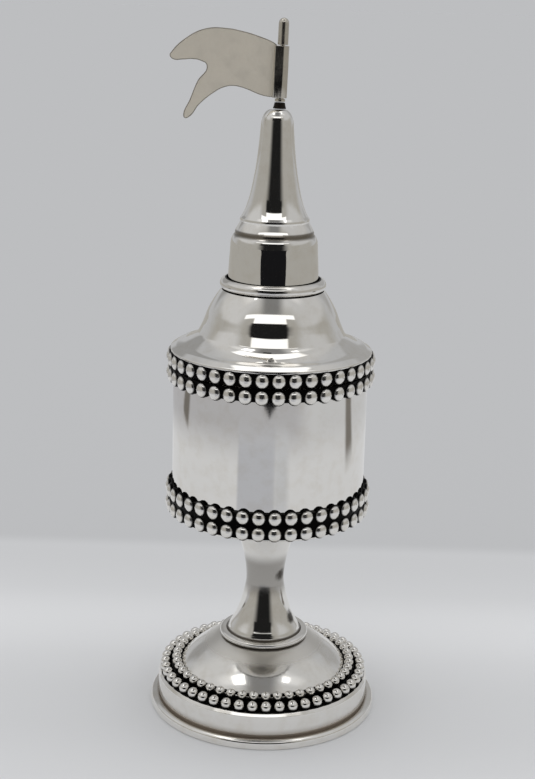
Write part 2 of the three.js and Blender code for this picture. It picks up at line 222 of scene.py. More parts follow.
# %% The flange and the wall of the foot
foot_radius, foot_wall_bottom, foot_wall_top = size_of("foot_wall")
flange_radius, _, flange_top = size_of("foot_flange")
FLANGE_TUCK = 2.1     # how far the flange reaches in under the wall
FOOT_WALL = 1.0
GROOVE_HEIGHT = 0.5
GROOVE_DEPTH = 0.12
SOFT_EDGE = 0.15      # the rounding of most edges
foot_flange = turned("foot_flange_ring", rounded([
    (foot_radius - FLANGE_TUCK, 0),
    (flange_radius, 0, 0.3),
    (flange_radius, flange_top, 0.8),
    (foot_radius - FLANGE_TUCK, flange_top),
]), WIDE_STEPS)
foot_wall = turned("foot_wall_band", rounded([
    (foot_radius - FOOT_WALL, foot_wall_bottom),
    (foot_radius - GROOVE_DEPTH, foot_wall_bottom),
    (foot_radius - GROOVE_DEPTH, foot_wall_bottom + GROOVE_HEIGHT),
    (foot_radius, foot_wall_bottom + GROOVE_HEIGHT, SOFT_EDGE),
    (foot_radius, foot_wall_top),
    (foot_radius - FOOT_WALL, foot_wall_top),
]), WIDE_STEPS)

# %% [markdown]
# The dome is one spinning: a rim on the wall, two ledges for the rings of beads, and then a
# full curve up to the flat under the stem. Its foot runs steeper than its crown, so it is
# two sweeps, from 40 degrees to nearly flat.

# %% The dome of the foot
_, _, dome_top = size_of("foot_dome")
OUTER_LEDGE = foot_wall_top + SHEET
INNER_LEDGE = OUTER_LEDGE + 1.4
LEDGE_EDGE = 22.0
DOME_FOOT = 19.45
STEM_SEAT_BORE = 6.6
dome_line = [
    *sweep((DOME_FOOT, INNER_LEDGE + 1.0), 40, (13.3, 15.15), 57, 14),
    *sweep((13.3, 15.15), 57, (9.8, dome_top), 82, 8)[1:],
    (STEM_SEAT_BORE, dome_top),
]
foot_dome = turned("foot_dome_shell", rounded([
    (foot_radius, foot_wall_top),
    (foot_radius, OUTER_LEDGE - 0.65, SOFT_EDGE),
    (foot_radius - 0.45, OUTER_LEDGE, SOFT_EDGE),
    (LEDGE_EDGE + 0.1, OUTER_LEDGE, 0.1),
    (LEDGE_EDGE, INNER_LEDGE, 0.2),
    (DOME_FOOT + 0.1, INNER_LEDGE),
    *dome_line,
    *inner_side(dome_line)[::-1],
    (foot_radius - FOOT_WALL, OUTER_LEDGE - SHEET),
]), WIDE_STEPS)

# %% [markdown]
# ## The stem
# The stem is two trumpets, soldered small end to small end, on a flat ring. The lower one
# opens quickly into a lip, where it takes the ring's width. Each is a hollow sheet piece.

# %% The ring and the two trumpets of the stem
stem_ring_radius, stem_ring_bottom, stem_ring_top = size_of("stem_ring")
bell_radius, _, waist = size_of("stem_bell")
top_radius, _, floor_bottom = size_of("stem_upper")
WAIST_RADIUS = 4.5
stem_ring = turned("stem_ring_flat", rounded([
    (STEM_SEAT_BORE, stem_ring_bottom),
    (stem_ring_radius, stem_ring_bottom, 0.55),
    (stem_ring_radius, stem_ring_top, 0.6),
    (STEM_SEAT_BORE, stem_ring_top),
]), NARROW_STEPS)
stem_bell = sheet_piece("stem_lower_trumpet", [
    *sweep((bell_radius, stem_ring_top), 76, (8.1, 19.6), 31, 8),
    *sweep((8.1, 19.6), 31, (6.6, 22.5), 22, 8)[1:],
    *sweep((6.6, 22.5), 22, (4.9, 28.3), 13.5, 12)[1:],
    *sweep((4.9, 28.3), 13.5, (WAIST_RADIUS, waist), 9.5, 6)[1:],
], NARROW_STEPS)
stem_upper = sheet_piece("stem_upper_trumpet", [
    *sweep((WAIST_RADIUS, waist), 9.5, (4.43, 31.2), 0, 6),
    *sweep((4.43, 31.2), 0, (5.75, 39.5), -16, 14)[1:],
    *sweep((5.75, 39.5), -16, (top_radius, floor_bottom), -24, 12)[1:],
], NARROW_STEPS)

# %% [markdown]
# ## The box
# A disc closes the bottom, and the wall is a strip of sheet bent round and soldered. Its
# mouth was filed flat, so only a fine rounding breaks that edge.

# %% The floor and the wall of the box
box_radius, wall_bottom, mouth = size_of("box_wall")
box_floor = turned("box_floor_disc", rounded([
    (0, floor_bottom),
    (box_radius, floor_bottom, 0.25),
    (box_radius, wall_bottom),
    (0, wall_bottom),
]), WIDE_STEPS)
box_wall = turned("box_wall_tube", rounded([
    (box_radius - SHEET, wall_bottom),
    (box_radius, wall_bottom),
    (box_radius, mouth, SOFT_EDGE),
    (box_radius - SHEET, mouth, SOFT_EDGE),
]), WIDE_STEPS)

# %% [markdown]
# ## The beads
# Beaded strip was bought by length: a ribbon with round pearls stamped out of it. All the
# pearls of a row are alike, so one is modelled and then copied round the axis by a spin that
# duplicates instead of joining its steps.

# %% Copying a pearl round the axis
def copied_round(pearl, count, gap):
    """Turns a pearl to its first place and spins copies. Gap is in degrees from the front."""
    pearl.rotation_euler.z = math.radians(gap + 180 / count - 90)
    bpy.ops.object.transform_apply(location=False, rotation=True, scale=False)
    bpy.ops.object.mode_set(mode="EDIT")
    bpy.ops.mesh.select_all(action="SELECT")
    bpy.ops.mesh.spin(
        steps=count - 1, angle=math.tau * (count - 1) / count, dupli=True,
        center=(0, 0, 0), axis=(0, 0, 1))
    bpy.ops.object.mode_set(mode="OBJECT")
    print("a ring of", count, "pearls has", len(pearl.data.polygons), "faces")


# %% [markdown]
# A whole pearl would stick through the wall, so one is a sphere stretched to an oval, with
# its back cut off flat by a bisect. It is only a few pixels wide, so a few dozen faces are
# enough.

# %% One pearl of a strip
PEARL_SINK = 0.05     # how deep a pearl's flat back lies in the ribbon
PEARL_CREASE = math.radians(60)


def pearls(count, radius, height, size):
    """A ring of pearls. Size is (depth, width, tallness)."""
    bpy.ops.object.select_all(action="DESELECT")
    bpy.ops.mesh.primitive_uv_sphere_add(segments=16, ring_count=8, radius=MM / 2)
    pearl = bpy.context.object
    bpy.ops.object.mode_set(mode="EDIT")
    bpy.ops.mesh.select_all(action="SELECT")
    bpy.ops.transform.resize(value=size)
    bpy.ops.mesh.bisect(
        plane_co=(-PEARL_SINK * MM, 0, 0), plane_no=(1, 0, 0), use_fill=True, clear_inner=True)
    bpy.ops.mesh.select_all(action="SELECT")
    bpy.ops.transform.translate(value=(radius * MM, 0, height * MM))
    bpy.ops.object.mode_set(mode="OBJECT")
    copied_round(pearl, count, 0)
    bpy.ops.object.shade_smooth_by_angle(angle=PEARL_CREASE)
    return pearl


def joined(piece, others):
    bpy.ops.object.select_all(action="DESELECT")
    for one in (piece, *others):
        one.select_set(True)
    bpy.context.view_layer.objects.active = piece
    bpy.ops.object.join()
    print(piece.name, "and what is joined to it have", len(piece.data.polygons), "faces")
    return piece


# %% [markdown]
# The three strips differ only in where they are, in how many rows they have and in how far
# the ribbon ends short of its pearls, above and below.

# %% The strips of beads round the box and the lid
STRIP_GAP = 0.3
BACKING = 0.45
CREST = 1.3           # from the ribbon's face to a pearl's crest, less what is sunk in it
BEAD_COUNT = 40
BEAD_WIDTH = 3.35
PEARL_TALLNESS = 3.6
ribbon_inner = box_radius + 0.03
ribbon_outer = box_radius + STRIP_GAP + BACKING


def bead_strip(name, node, rows, margins):
    """The margins are how far the ribbon ends short of the strip's bottom and top."""
    _, bottom, top = size_of(node)
    row_height = (top - bottom) / rows
    rings = []
    for row in range(rows):
        middle = bottom + row_height * (row + 0.5)
        rings.append(pearls(
            BEAD_COUNT, box_radius + STRIP_GAP + PEARL_SINK, middle,
            (2 * (CREST - PEARL_SINK), BEAD_WIDTH, PEARL_TALLNESS)))
    ribbon = turned(name, [
        (ribbon_inner, bottom + margins[0]),
        (ribbon_outer, bottom + margins[0]),
        (ribbon_outer, top - margins[1]),
        (ribbon_inner, top - margins[1]),
    ], WIDE_STEPS)
    return joined(ribbon, rings)


base_beads = bead_strip("base_beads", "base_bead_strip", 2, (0.6, 0.8))
mouth_beads = bead_strip("mouth_beads", "mouth_bead_strip", 1, (0.8, 0))
lid_beads = bead_strip("lid_beads", "lid_bead_strip", 1, (0, 0))

# %% [markdown]
# The foot has two rings of beaded wire, laid on the ledges. Here the pearls are whole and
# round, and the flat solder under them joins them to one ring.

# %% The rings of beads on the foot
FOOT_BEAD_COUNT = 48
FOOT_BEAD_GAP = -1.4  # degrees from the front to the first gap
FOOT_BEAD_SINK = 0.2
SOLDER_WIDTH = 0.8
SOLDER_HEIGHT = 0.5


def bead_ring(name, radius, ledge, size):
    middle = ledge + size / 2 - FOOT_BEAD_SINK
    foot, top = SOLDER_WIDTH / 2, SOLDER_WIDTH / 2 - 0.1
    solder = turned(name, [
        (radius - foot, ledge), (radius + foot, ledge),
        (radius + top, ledge + SOLDER_HEIGHT), (radius - top, ledge + SOLDER_HEIGHT),
    ], WIDE_STEPS)
    bpy.ops.object.select_all(action="DESELECT")
    bpy.ops.mesh.primitive_uv_sphere_add(
        segments=12, ring_count=8, radius=size / 2 * MM, location=(radius * MM, 0, middle * MM))
    pearl = bpy.context.object
    bpy.ops.object.transform_apply(location=True, rotation=False, scale=False)
    copied_round(pearl, FOOT_BEAD_COUNT, FOOT_BEAD_GAP)
    bpy.ops.object.shade_smooth()
    return joined(solder, [pearl])


outer_beads = bead_ring("foot_outer_beads", 23.45, OUTER_LEDGE, 2.6)
inner_beads = bead_ring("foot_inner_beads", 20.78, INNER_LEDGE, 2.3)

# %% [markdown]
# ## The lid
# A collar under the roof carries the lid's own beads, and a bezel inside it slips into the
# mouth of the box. The bezel's lower edge is rounded on both sides to find its way in.

# %% The collar and the bezel
_, lid_bottom, rim_bottom = size_of("lid_collar")
bezel_radius, bezel_bottom, _ = size_of("lid_bezel")
BEZEL_SHEET = 0.7
lid_collar = turned("lid_collar_band", rounded([
    (box_radius - SHEET, lid_bottom, SOFT_EDGE),
    (box_radius, lid_bottom, SOFT_EDGE),
    (box_radius, rim_bottom),
    (box_radius - SHEET, rim_bottom),
]), WIDE_STEPS)
lid_bezel = turned("lid_bezel_band", rounded([
    (bezel_radius - BEZEL_SHEET, bezel_bottom, 0.25),
    (bezel_radius, bezel_bottom, 0.3),
    (bezel_radius, rim_bottom),
    (bezel_radius - BEZEL_SHEET, rim_bottom),
]), WIDE_STEPS)

# %% [markdown]
# The roof flares out to a thin rim. Going up from the rim it steepens quickly, is steepest
# half way, and then leans back again into a round shoulder under the turret. Nine sweeps
# that share their tilts follow it. It bends sharply between 26 and 36 degrees, because the
# lamp that it mirrors just above there ends in a clean line in the photograph. The rim
# itself curls down at 58 degrees, which gives it a bright line of its own.

# %% The roof
rim_radius, _, roof_top = size_of("lid_roof")
RIM_TOP = rim_bottom + 0.55
CURL = (21.6, 88.17)  # where the rim's curl runs into the flare
TURRET_SEAT_BORE = 8.7
roof_line = [
    *sweep(CURL, 76, (19.75, 88.72), 62, 8),
    *sweep((19.75, 88.72), 62, (17.65, 90), 52, 10)[1:],
    *sweep((17.65, 90), 52, (16.78, 90.87), 36, 8)[1:],
    *sweep((16.78, 90.87), 36, (16.62, 91.15), 26.4, 4)[1:],
    *sweep((16.62, 91.15), 26.4, (15.76, 92.95), 25, 8)[1:],
    *sweep((15.76, 92.95), 25, (15.27, 94.2), 20.5, 6)[1:],
    *sweep((15.27, 94.2), 20.5, (14.62, 95.95), 24.5, 8)[1:],
    *sweep((14.62, 95.95), 24.5, (13.15, 98.7), 31.5, 8)[1:],
    *sweep((13.15, 98.7), 31.5, (11.6, roof_top), 39, 10)[1:],
    (TURRET_SEAT_BORE, roof_top),
]
roof_inside = [point for point in inner_side(roof_line) if point[0] < bezel_radius - 1.5]
lid_roof = turned("lid_roof_shell", rounded([
    (rim_radius, rim_bottom, SOFT_EDGE),
    (rim_radius, RIM_TOP, 0.3),
    *sweep((rim_radius - 0.7, RIM_TOP + 0.43), 57, CURL, 59, 3)[:-1],
    *roof_line,
    *roof_inside[::-1],
    (bezel_radius - 1, rim_bottom),
]), WIDE_STEPS)

# %% [markdown]
# ## The turret and the spire
# The drum rises nearly straight, rounds over, and is then drawn in by two small ridges. Each
# ridge gives a light line over a dark one. A ring of round wire hides its joint to the roof.

# %% The drum and its ring
drum_radius, _, drum_top = size_of("turret_drum")
seam_radius, _, spire_top = size_of("spire_cone")
ring_radius, _, ring_top = size_of("turret_ring")
turret_drum = sheet_piece("turret_drum_shell", rounded([
    (drum_radius, roof_top),
    *sweep((drum_radius, roof_top + 0.2), 0.3, (9.87, 109.75), 4, 10),
    *sweep((9.87, 109.75), 4, (9.05, 113.35), 42, 10)[1:],
    (8.85, 113.5, 0.08),
    (8.85, 114.0, 0.1),
    *sweep((8.72, 114.3), 24, (7.62, 116.25), 34, 8),
    (7.8, 116.65, 0.12),
    (7.72, 117.1, 0.12),
    (seam_radius, drum_top),
]), NARROW_STEPS)
wire = (ring_top - roof_top) / 2
arc = [Vector((math.cos(math.radians(a)), math.sin(math.radians(a)))) for a in range(-90, 91, 12)]
wire_middle = Vector((ring_radius - wire, roof_top + wire))
turret_ring = turned("turret_wire_ring", [
    (drum_radius + STRIP_GAP, roof_top),
    *[tuple(wire_middle + wire * direction) for direction in arc],
    (drum_radius + STRIP_GAP, ring_top),
], NARROW_STEPS)

# %% [markdown]
# The spire is a long hollow curve that ends in a small round head. The head is closed, so
# the outline runs in to the axis both outside and inside.

# %% The spire
spire_line = [
    *sweep((seam_radius, drum_top), 27, (4.98, 125.6), 10.5, 16),
    *sweep((4.98, 125.6), 10.5, (3.6, 137.7), 4.5, 16)[1:],
    *sweep((3.6, 137.7), 4.5, (1.9, spire_top), 62, 10, (0.5, 0.3))[1:],
    (0, spire_top),
]
spire_inside = inner_side(spire_line)
spire_inside[0] = (seam_radius - SHEET, drum_top)
spire_inside[-1] = (0, spire_top - SHEET)
spire_cone = turned(
    "spire_shell", [(0, spire_top), *spire_line[:-1][::-1], *spire_inside], NARROW_STEPS)

# %% [markdown]
# ## The pole and the flag
# The pole was soldered on a little askew: it leans 1.5 degrees. Its pieces are turned
# upright at the origin, then the object is turned and moved, and both are applied, so that
# the place ends up in the mesh.

# %% The collar, the pole and its cap
LEAN = math.radians(1.5)
POLE_OFFSET = 0.35
POLE_RADIUS = 0.8
SHOULDER = 1.15


def leaning(piece):
    bpy.ops.object.select_all(action="DESELECT")
    piece.select_set(True)
    bpy.context.view_layer.objects.active = piece
    piece.rotation_euler.y = LEAN
    piece.location = Vector((POLE_OFFSET, 0, spire_top)) * MM
    bpy.ops.object.transform_apply(location=True, rotation=True, scale=False)
    return piece


pole_collar = leaning(turned("pole_collar_cone", rounded([
    (0, 0.2), (1.5, 0.2, 0.1), (1.32, 0.65), (SHOULDER, 1.5, 0.1), (0, 1.5),
]), POLE_STEPS))
flagpole = leaning(turned("flagpole_wire", rounded([
    (0, 1.7), (SHOULDER, 1.7, 0.15), (SHOULDER, 2.3, 0.15), (POLE_RADIUS, 2.3),
    (POLE_RADIUS, 13.6), (POLE_RADIUS - 0.3, 13.6), (POLE_RADIUS - 0.3, 15.4), (0, 15.4),
]), POLE_STEPS))
pole_cap = leaning(turned("pole_cap_rod", rounded([
    (0, 15.6), (0.7, 15.6), (0.7, 13.8), (SHOULDER, 13.8, 0.15), (SHOULDER, 18.35),
    (1.04, 18.85), (0.7, 19.27), (0.3, 19.46), (0, 19.5),
]), POLE_STEPS))

# %% [markdown]
# The flag was cut from flat sheet with a saw and filed. A closed Bezier curve draws such an
# outline best: Blender can fill it, thicken it and round its edges at once, and then convert
# it to a mesh. Points that are corners get vector handles and the rest automatic ones. Where
# the sheet has a round hole, the circle that the curve begins with stays in as the hole.

# %% A piece cut from flat sheet
CORNER = "VECTOR"


def cut_from_sheet(name, outline, thickness, edge, bore=None):
    """Outline is (across, up) or (across, up, handle type) in mm, edge is its rounding."""
    bpy.ops.object.select_all(action="DESELECT")
    bpy.ops.curve.primitive_bezier_circle_add(radius=(bore or 1) * MM)
    piece = bpy.context.object
    piece.name = name
    curve = piece.data
    if bore is None:
        curve.splines.remove(curve.splines[0])
    spline = curve.splines.new("BEZIER")
    spline.bezier_points.add(len(outline) - 1)
    for point, (across, up, *handle) in zip(spline.bezier_points, outline):
        point.co = Vector((across, up, 0)) * MM
        point.handle_left_type = point.handle_right_type = handle[0] if handle else "AUTO"
    spline.use_cyclic_u = True
    curve.dimensions = "2D"
    curve.fill_mode = "BOTH"
    curve.resolution_u = 10
    curve.extrude = (thickness / 2 - edge) * MM
    curve.bevel_depth = edge * MM
    curve.offset = -edge * MM
    curve.bevel_resolution = 1
    bpy.ops.object.convert(target="MESH")
    return piece


print("corners of an outline get", CORNER, "handles")

# %% [markdown]
# The curve's front, back and edge are separate strips of faces after the conversion. The
# place is applied, the strips are welded together and the corners are kept crisp.

# %% Closing the converted piece
def closed(piece, turn, height, crease):
    piece.rotation_euler.x = turn
    piece.location.z = height * MM
    bpy.ops.object.transform_apply(location=True, rotation=True, scale=False)
    bpy.ops.object.mode_set(mode="EDIT")
    bpy.ops.mesh.select_all(action="SELECT")
    bpy.ops.mesh.remove_doubles(threshold=WELD)
    bpy.ops.mesh.normals_make_consistent(inside=False)
    bpy.ops.object.mode_set(mode="OBJECT")
    bpy.ops.object.shade_smooth_by_angle(angle=math.radians(crease))
    print(piece.name, "has", len(piece.data.polygons), "faces")
    return piece


# %% [markdown]
# The plate is a swallow-tail pennant. Its outline is given in shares of its length and of
# the height of its hoist edge, so that it can be resized by two numbers.

# %% The flag's plate
FLAG_BOTTOM = 2.5
FLAG_HOIST = 11.1
FLAG_LENGTH = 24.4
FLAG_THICKNESS = 0.45
FLAG_ROUND = 0.2
flag_edge = [
    (0.05, 0, CORNER), (0.05, 1, CORNER), (0.07, 1.04), (0.24, 1.175), (0.37, 1.24),
    (0.49, 1.277), (0.69, 1.25), (0.86, 1.055), (0.985, 0.78), (1, 0.71), (0.97, 0.635),
    (0.88, 0.637), (0.795, 0.655), (0.72, 0.63), (0.668, 0.553), (0.745, 0.24),
    (0.805, -0.11), (0.86, -0.437), (0.847, -0.487), (0.806, -0.46), (0.722, -0.214),
    (0.58, 0.056), (0.509, 0.143), (0.437, 0.182), (0.349, 0.161), (0.156, 0.025),
]
flag_edge = [(-across * FLAG_LENGTH, up * FLAG_HOIST, *kind) for across, up, *kind in flag_edge]
flag = closed(
    cut_from_sheet("flag_plate", flag_edge, FLAG_THICKNESS, FLAG_ROUND),
    math.radians(90), FLAG_BOTTOM, 20)

# %% [markdown]
# The loop is the flag's hoist edge, rolled round the pole and hammered flat at the front,
# where it runs into the plate. It turns freely, so there is air between it and the pole. It
# is drawn in plan, with its bore, and made as tall as the hoist edge.

# %% The flag's loop, joined to its plate
LOOP_BORE = 1.0
LOOP_ROUND = 0.1
loop_plan = [
    (-1.75, -1.2, CORNER), (-1.62, -1.37), (-0.7, -1.42), (0.5, -1.37), (1.45, 0), (0, 1.45),
    (-1.3, 0.95), (-1.75, 0.2, CORNER),
]
flag_loop = closed(
    cut_from_sheet("flag_loop", loop_plan, FLAG_HOIST, LOOP_ROUND, LOOP_BORE),
    0, FLAG_BOTTOM + FLAG_HOIST / 2, 32)
loop_faces = len(flag_loop.data.polygons)
flag = leaning(joined(flag_loop, [flag]))
flag.name = flag.data.name = "flag_pennant"

# %% [markdown]
# ## The finishes
# Colours are written as sRGB hex values, as picked from a colour chart, and Blender's
# shaders want linear light, so one function turns them. Another adds a node with its
# settings and its links, which keeps each material readable as a list of steps.

# %% Colours and nodes
def linear(hex_colour):
    channels = [int(hex_colour[i:i + 2], 16) / 255 for i in (1, 3, 5)]
    return (*[c / 12.92 if c <= 0.04045 else ((c + 0.055) / 1.055) ** 2.4 for c in channels], 1)


def add_node(tree, kind, inputs, **settings):
    """Inputs are values, or the sockets to link from, by the input's name or number."""
    node = tree.nodes.new(kind)
    for name, value in settings.items():
        setattr(node, name, value)
    for name, value in inputs.items():
        if isinstance(value, bpy.types.NodeSocket):
            tree.links.new(value, node.inputs[name])
        else:
            node.inputs[name].default_value = value
    return node


print("silver in linear light:", [round(c, 3) for c in linear("#E6E5E1")[:3]])

# %% [markdown]
# Nearly all that happens on a turned surface goes round its axis, so the finishes need to
# know how far a point is from the axis and how high it is.

# %% Measures of a point on a turned piece
def measured(tree):
    """The sockets of a point's place, its distance from the axis and its height."""
    place = add_node(tree, "ShaderNodeTexCoord", {}).outputs["Object"]
    axes = add_node(tree, "ShaderNodeSeparateXYZ", {0: place})
    flat = add_node(tree, "ShaderNodeCombineXYZ", {0: axes.outputs[0], 1: axes.outputs[1]})
    radius = add_node(tree, "ShaderNodeVectorMath", {0: flat.outputs[0]}, operation="LENGTH")
    return place, radius.outputs["Value"], axes.outputs[2]


def noise(tree, vector, size, detail, roughness=0.6):
    return add_node(tree, "ShaderNodeTexNoise", {
        "Vector": vector, "Scale": 1 / size, "Detail": detail, "Roughness": roughness}).outputs[0]


print("a point is measured by its place, its radius and its height")

# %% [markdown]
# Sterling silver, spun and then buffed to a mirror. The sheet is never quite true, so long
# soft waves of about 9 mm bend what it reflects. The buffing wheel leaves marks that run
# round the piece. Real ones are a few hundredths of a millimetre apart, far too fine for the
# render, so they are drawn 0.3 mm apart and very shallow.

# %% Polished silver
SILVER = "#E9E7E3"
TARNISH = "#D3CCBF"
WAVE = 9 * MM
MARK = 0.3 * MM
BLOOM = 3 * MM


def silver_material(
        name, roughness=(0.02, 0.06), wave_height=0.02, mark_height=0.0003, silver=SILVER):
    """Heights are in mm. Roughness runs from the clean places to those with a bloom."""
    material = bpy.data.materials.new(name)
    material.use_nodes = True
    tree = material.node_tree
    shader = tree.nodes["Principled BSDF"]
    shader.inputs["Metallic"].default_value = 1
    place, radius, height = measured(tree)
    along = add_node(tree, "ShaderNodeCombineXYZ", {0: radius, 1: height}).outputs[0]
    marks = noise(tree, along, MARK, 3.0)
    waves = noise(tree, place, WAVE, 1.0, 0.4)
    bloom = noise(tree, place, BLOOM, 4.0)
    colour = add_node(tree, "ShaderNodeMix", {
        0: add_node(tree, "ShaderNodeMapRange", {
            "Value": bloom, "From Min": 0.45, "From Max": 0.85,
            "To Min": 0.0, "To Max": 0.5}).outputs[0],
        6: linear(silver), 7: linear(TARNISH)}, data_type="RGBA")
    sheen = add_node(tree, "ShaderNodeMapRange", {
        "Value": bloom, "From Min": 0.3, "From Max": 0.7,
        "To Min": roughness[0], "To Max": roughness[1]})
    unevenness = add_node(tree, "ShaderNodeBump", {
        "Height": waves, "Distance": wave_height * MM, "Strength": 1.0})
    relief = add_node(tree, "ShaderNodeBump", {
        "Height": marks, "Distance": mark_height * MM, "Strength": 1.0,
        "Normal": unevenness.outputs[0]})
    tree.links.new(colour.outputs[2], shader.inputs["Base Color"])
    tree.links.new(sheen.outputs[0], shader.inputs["Roughness"])
    tree.links.new(relief.outputs[0], shader.inputs["Normal"])
    return {
        "material": material, "tree": tree, "shader": shader, "colour": colour.outputs[2],
        "sheen": sheen.outputs[0], "radius": radius, "height": height, "place": place,
        "bloom": bloom}


polished = silver_material("sterling_silver_buffed")["material"]
print("made", polished.name)

# %% [markdown]
# The maker blackened the whole strip in a sulphur bath and polished only the crests of the
# pearls bright again. So the black is where the buffing wheel couldn't reach: close to the
# ribbon, or deep between the pearls. Distance from the axis tells the two apart on the
# strips, and height above the ledge does so on the foot.

# %% Silver with blackened recesses
BLACK = "#0B0A0A"


def darkened(made, masks, colour=BLACK, roughness=0.5):
    """Darkens polished silver where a mask is 1. A mask is a measure, in metres, and the
    sizes in mm at which it goes from silver to dark. Masks in one list hold together."""
    material, tree, shader = made["material"], made["tree"], made["shader"]
    covered = None
    for measure, silver_at, dark_at in masks:
        reach = add_node(tree, "ShaderNodeMapRange", {
            "Value": made[measure], "From Min": silver_at * MM, "From Max": dark_at * MM},
            interpolation_type="SMOOTHSTEP").outputs[0]
        covered = reach if covered is None else add_node(
            tree, "ShaderNodeMath", {0: covered, 1: reach}, operation="MULTIPLY").outputs[0]
    mixed = add_node(tree, "ShaderNodeMix", {
        0: covered, 6: made["colour"], 7: linear(colour)}, data_type="RGBA").outputs[2]
    matt = add_node(tree, "ShaderNodeMapRange", {
        "Value": covered, "To Min": made["sheen"], "To Max": roughness}).outputs[0]
    tree.links.new(mixed, shader.inputs["Base Color"])
    tree.links.new(matt, shader.inputs["Roughness"])
    made["colour"], made["sheen"] = mixed, matt
    return made


strip_silver = darkened(silver_material("oxidised_strip_silver", (0.1, 0.2)), [
    ("radius", ribbon_outer + 0.45, ribbon_outer + 0.1)])["material"]
outer_silver = darkened(silver_material("oxidised_outer_wire", (0.08, 0.16)), [
    ("height", OUTER_LEDGE + 1.0, OUTER_LEDGE + 0.5)])["material"]
inner_silver = darkened(silver_material("oxidised_inner_wire", (0.08, 0.16)), [
    ("height", INNER_LEDGE + 0.9, INNER_LEDGE + 0.5)])["material"]
dome_silver = darkened(silver_material("silver_with_dark_ledges", (0.08, 0.14), 0.03), [
    ("radius", 19.5, 19.9), ("radius", 24.4, 24.0)])
dome_silver = darkened(dome_silver, [("radius", 15.2, 13.2)], "#D8D5CF", 0.3)["material"]
print("made the blackened silvers")

# %% [markdown]
# Polish and dirt also stay behind in the narrow groove of the foot. The wire ring is painted
# black at both its sides, as painted shade with some oxide under it, and round the solder at
# the stem's waist a band and two spots are painted darker. No wheel reaches the inside of
# the box, so it stays dull.

# %% Silver with grime and painted shade in its corners
GRIME = "#2A2622"
# The wall of the foot is painted darker towards its bottom, and darker still in the groove.
groove_silver = darkened(silver_material("silver_with_grimy_groove"), [
    ("height", foot_wall_bottom + 2.2, foot_wall_bottom + 0.2)], "#B3ABA1", 0.3)
groove_silver = darkened(groove_silver, [
    ("height", foot_wall_bottom + 0.7, foot_wall_bottom + 0.4)], "#968C81")["material"]
# The flange is painted darker towards the wall: a painted reflection of the wall's dark foot.
flange_silver = darkened(silver_material("silver_flange_with_painted_reflection"), [
    ("radius", 25.8, 25.0)], "#A79F95", 0.3)["material"]
# The wire ring is painted black where it meets the drum, as painted shade, and where it sits on
# the roof, as painted shade with some oxide.
ring_silver = darkened(silver_material("silver_ring_with_painted_shade_at_joints"), [
    ("height", roof_top + 0.55, roof_top + 0.35)])
ring_silver = darkened(ring_silver, [
    ("radius", drum_radius + 0.75, drum_radius + 0.55)])["material"]
# The stem is painted greyer and rougher in a band round its waist, darker in a thin line at the
# bell's foot, and quite dark in two spots.
stem_silver = darkened(silver_material("silver_with_soldered_waist"), [
    ("height", 39, 35.5), ("height", 27, 30.5)], "#A9A6A1", 0.2)
stem_silver = darkened(stem_silver, [("height", 18.9, 18.5)], "#5A544D", 0.3)
for spot in ((3.9, -2.6, 33.1), (6.5, -2.4, 22.0)):
    away = add_node(stem_silver["tree"], "ShaderNodeVectorMath", {
        0: stem_silver["place"], 1: Vector(spot) * MM}, operation="DISTANCE")
    stem_silver["spot"] = add_node(stem_silver["tree"], "ShaderNodeMath", {
        0: stem_silver["bloom"], 1: 3 * MM, 2: away.outputs["Value"]},
        operation="MULTIPLY_ADD").outputs[0]
    stem_silver = darkened(stem_silver, [("spot", 3.6, 2.1)], "#4A4641", 0.3)
stem_silver = stem_silver["material"]
stem_ring_silver = darkened(silver_material("silver_ring_with_dark_foot"), [
    ("height", stem_ring_bottom + 0.55, stem_ring_bottom + 0.3)], "#5A544D", 0.3)["material"]
# The crease between the drum's two ridges is painted dark grey: painted shade.
drum_silver = darkened(silver_material("silver_with_painted_shade_in_crease"), [
    ("height", 114.6, 114.2), ("height", 112.9, 113.5)], "#7A746B", 0.2)["material"]
inside_silver = darkened(silver_material("silver_wall_dull_inside"), [
    ("radius", box_radius - 0.3, box_radius - 0.5)], "#B4AFA5", 0.35)["material"]
floor_silver = darkened(silver_material("silver_floor_dull_inside"), [
    ("height", wall_bottom - 0.4, wall_bottom - 0.1)], "#B4AFA5", 0.35)["material"]
collar_silver = darkened(silver_material("soldered_collar_silver"), [
    ("height", 143.2, 142.6)], GRIME)["material"]
print("made the grimy and shaded silvers")

# %% [markdown]
# The flag is the same metal, but it was only rubbed with fine abrasive and never buffed. It
# shows a soft satin sheen with faint cloudy marks. Its sawn and filed edge is painted darker,
# and draws a thin line round it. The pole and the loop that turns on it have been handled
# bright.

# %% Satin silver
SATIN_METALLIC = 0.62  # a thin pale skin of oxide scatters the rest
made = silver_material("satin_silver_sheet", (0.45, 0.6), 0.05, 0.003, "#EAE3D5")
made["shader"].inputs["Metallic"].default_value = SATIN_METALLIC
satin = made["material"]
worn = silver_material("worn_silver_wire", (0.08, 0.25), 0.05, 0.003, "#C4BFB5")["material"]
filed = silver_material("filed_silver_edge", (0.4, 0.5), 0.05, 0.003, "#8E887C")["material"]
print("made", satin.name, "and", worn.name)
